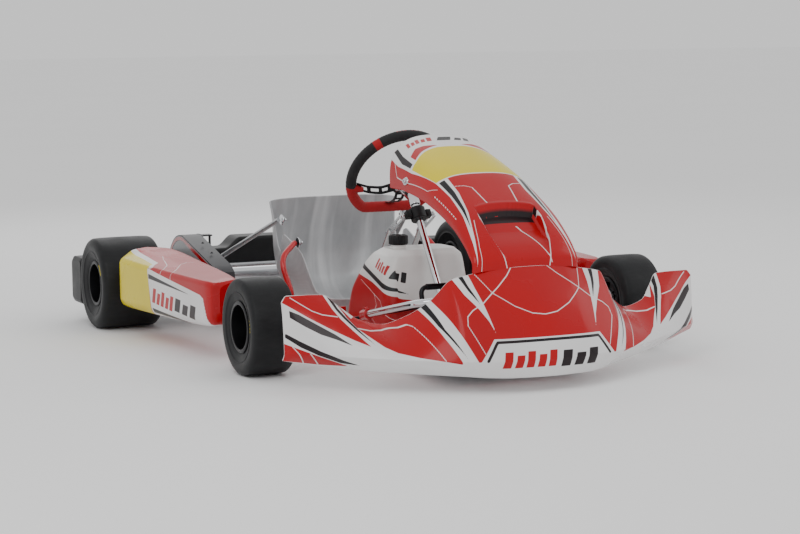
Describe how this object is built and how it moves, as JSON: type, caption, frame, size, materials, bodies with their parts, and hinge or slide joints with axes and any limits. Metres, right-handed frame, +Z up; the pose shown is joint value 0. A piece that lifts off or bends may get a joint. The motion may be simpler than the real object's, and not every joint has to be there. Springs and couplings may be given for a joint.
{
  "type": "kart chassis",
  "caption": "Racing kart rolling chassis without engine: welded tube frame, bodywork fairings, bucket seat, steering, pedals, brake and wheels.",
  "frame": {"origin": "on the ground, at the centre of the kart's overall length and width", "axes": "+Z up; the kart's front points to -Y; the driver's left is +X"},
  "size_m": [1.4, 1.93, 0.6178],
  "materials": {
    "red_bodywork": "gloss red moulded plastic with black, white and yellow printed film",
    "frame_paint": "gloss red powder coat on steel tube",
    "black_plastic": "satin black moulded plastic",
    "tyre_rubber": "smooth slick tread rubber",
    "black_anodised": "black anodised aluminium",
    "chrome": "polished chromed tube",
    "steel": "zinc plated steel",
    "alloy": "machined aluminium",
    "seat_fibre": "silver-grey glass-fibre laminate with visible cloth",
    "tank_plastic": "translucent white blow-moulded plastic",
    "grip_suede": "black suede with red inserts"
  },
  "bodies": {
    "chassis": {"frame_rail_right": "frame_paint", "frame_rail_left": "frame_paint", "front_cross_tube": "frame_paint", "front_hoop": "frame_paint", "seat_cross_tube": "frame_paint", "rear_cross_tube": "frame_paint", "kingpin_yoke_right": "frame_paint", "kingpin_yoke_left": "frame_paint", "seat_strut_right": "frame_paint", "seat_strut_left": "frame_paint", "steering_support_right": "frame_paint", "steering_support_left": "frame_paint", "floor_tray": "alloy", "seat_shell": "seat_fibre", "seat_stay_right": "steel", "seat_stay_left": "steel", "front_bumper_lower": "steel", "side_bar_right": "steel", "side_bar_left": "steel", "rear_bumper_hoop": "steel", "front_bumper_upper": "chrome", "bearing_carrier_right": "black_plastic", "bearing_carrier_left": "black_plastic", "rear_bumper": "black_plastic", "column_bushing": "black_plastic", "chain_guard": "black_plastic", "nose_fairing": "red_bodywork", "front_panel": "red_bodywork", "side_pod_right": "red_bodywork", "side_pod_left": "red_bodywork", "fuel_tank": "tank_plastic", "column_foot_bearing": "black_anodised", "brake_caliper": "black_anodised", "master_cylinder": "black_anodised"},
    "steering": {"steering_column": "chrome", "steering_spokes": "black_anodised", "steering_rim": "grip_suede"},
    "knuckle_right": {"stub_axle_right": "steel"},
    "knuckle_left": {"stub_axle_left": "steel"},
    "track_rod_right": {"tie_rod_right": "black_anodised"},
    "track_rod_left": {"tie_rod_left": "black_anodised"},
    "front_wheel_right": {"front_hub_right": "alloy", "front_rim_right": "black_anodised", "front_tyre_right": "tyre_rubber"},
    "front_wheel_left": {"front_hub_left": "alloy", "front_rim_left": "black_anodised", "front_tyre_left": "tyre_rubber"},
    "rear_axle_assembly": {"rear_axle": "chrome", "rear_hub_right": "alloy", "rear_hub_left": "alloy", "rear_rim_right": "black_anodised", "rear_rim_left": "black_anodised", "rear_tyre_right": "tyre_rubber", "rear_tyre_left": "tyre_rubber", "sprocket": "alloy", "brake_disc": "steel"},
    "throttle": {"throttle_pedal": "black_anodised"},
    "brake": {"brake_pedal": "black_anodised"},
    "brake_link": {"brake_rod": "steel"},
    "tank_cap": {"fuel_cap": "black_plastic"}
  },
  "joints": [
    {"name": "steering_turn", "type": "hinge", "parent": "chassis", "child": "steering", "pos_m": [0, -0.287, 0.213], "axis": [0, 0.5664, 0.8241], "range_deg": [-40, 40]},
    {"name": "kingpin_right", "type": "hinge", "parent": "chassis", "child": "knuckle_right", "pos_m": [-0.42, -0.363, 0.129], "axis": [0.17, 0.2049, 0.9639], "range_deg": [-22.5, 22.5]},
    {"name": "track_rod_right_pivot", "type": "hinge", "parent": "knuckle_right", "child": "track_rod_right", "pos_m": [-0.41285, -0.26645, 0.10047], "axis": [0.17, 0.2049, 0.9639], "range_deg": [-22.5, 22.5]},
    {"name": "front_wheel_right_spin", "type": "hinge", "parent": "knuckle_right", "child": "front_wheel_right", "pos_m": [-0.42, -0.363, 0.129], "axis": [1, 0, 0], "continuous": true},
    {"name": "kingpin_left", "type": "hinge", "parent": "chassis", "child": "knuckle_left", "pos_m": [0.42, -0.363, 0.129], "axis": [-0.17, 0.2049, 0.9639], "range_deg": [-22.5, 22.5]},
    {"name": "track_rod_left_pivot", "type": "hinge", "parent": "knuckle_left", "child": "track_rod_left", "pos_m": [0.41285, -0.26645, 0.10047], "axis": [-0.17, 0.2049, 0.9639], "range_deg": [-22.5, 22.5]},
    {"name": "front_wheel_left_spin", "type": "hinge", "parent": "knuckle_left", "child": "front_wheel_left", "pos_m": [0.42, -0.363, 0.129], "axis": [1, 0, 0], "continuous": true},
    {"name": "rear_axle_spin", "type": "hinge", "parent": "chassis", "child": "rear_axle_assembly", "pos_m": [0, 0.687, 0.1385], "axis": [1, 0, 0], "continuous": true},
    {"name": "throttle_push", "type": "hinge", "parent": "chassis", "child": "throttle", "pos_m": [-0.168, -0.673, 0.058], "axis": [1, 0, 0], "range_deg": [0, 25], "stiffness_Nm_per_rad": 1.5},
    {"name": "brake_push", "type": "hinge", "parent": "chassis", "child": "brake", "pos_m": [0.168, -0.673, 0.058], "axis": [1, 0, 0], "range_deg": [0, 25], "stiffness_Nm_per_rad": 3},
    {"name": "brake_rod_pull", "type": "slide", "parent": "chassis", "child": "brake_link", "axis": [0, -1, 0], "range_m": [0, 0.022]},
    {"name": "fuel_cap_turn", "type": "hinge", "parent": "chassis", "child": "tank_cap", "pos_m": [-0.048, -0.141, 0.296], "axis": [0, 0, 1], "range_deg": [0, 180]}
  ],
  "couplings": [
    {"joint": "kingpin_right", "follows": "steering_turn", "ratio": 0.55},
    {"joint": "track_rod_right_pivot", "follows": "steering_turn", "ratio": -0.55},
    {"joint": "kingpin_left", "follows": "steering_turn", "ratio": 0.55},
    {"joint": "track_rod_left_pivot", "follows": "steering_turn", "ratio": -0.55},
    {"joint": "brake_rod_pull", "follows": "brake_push", "m_per_rad": 0.047}
  ]
}
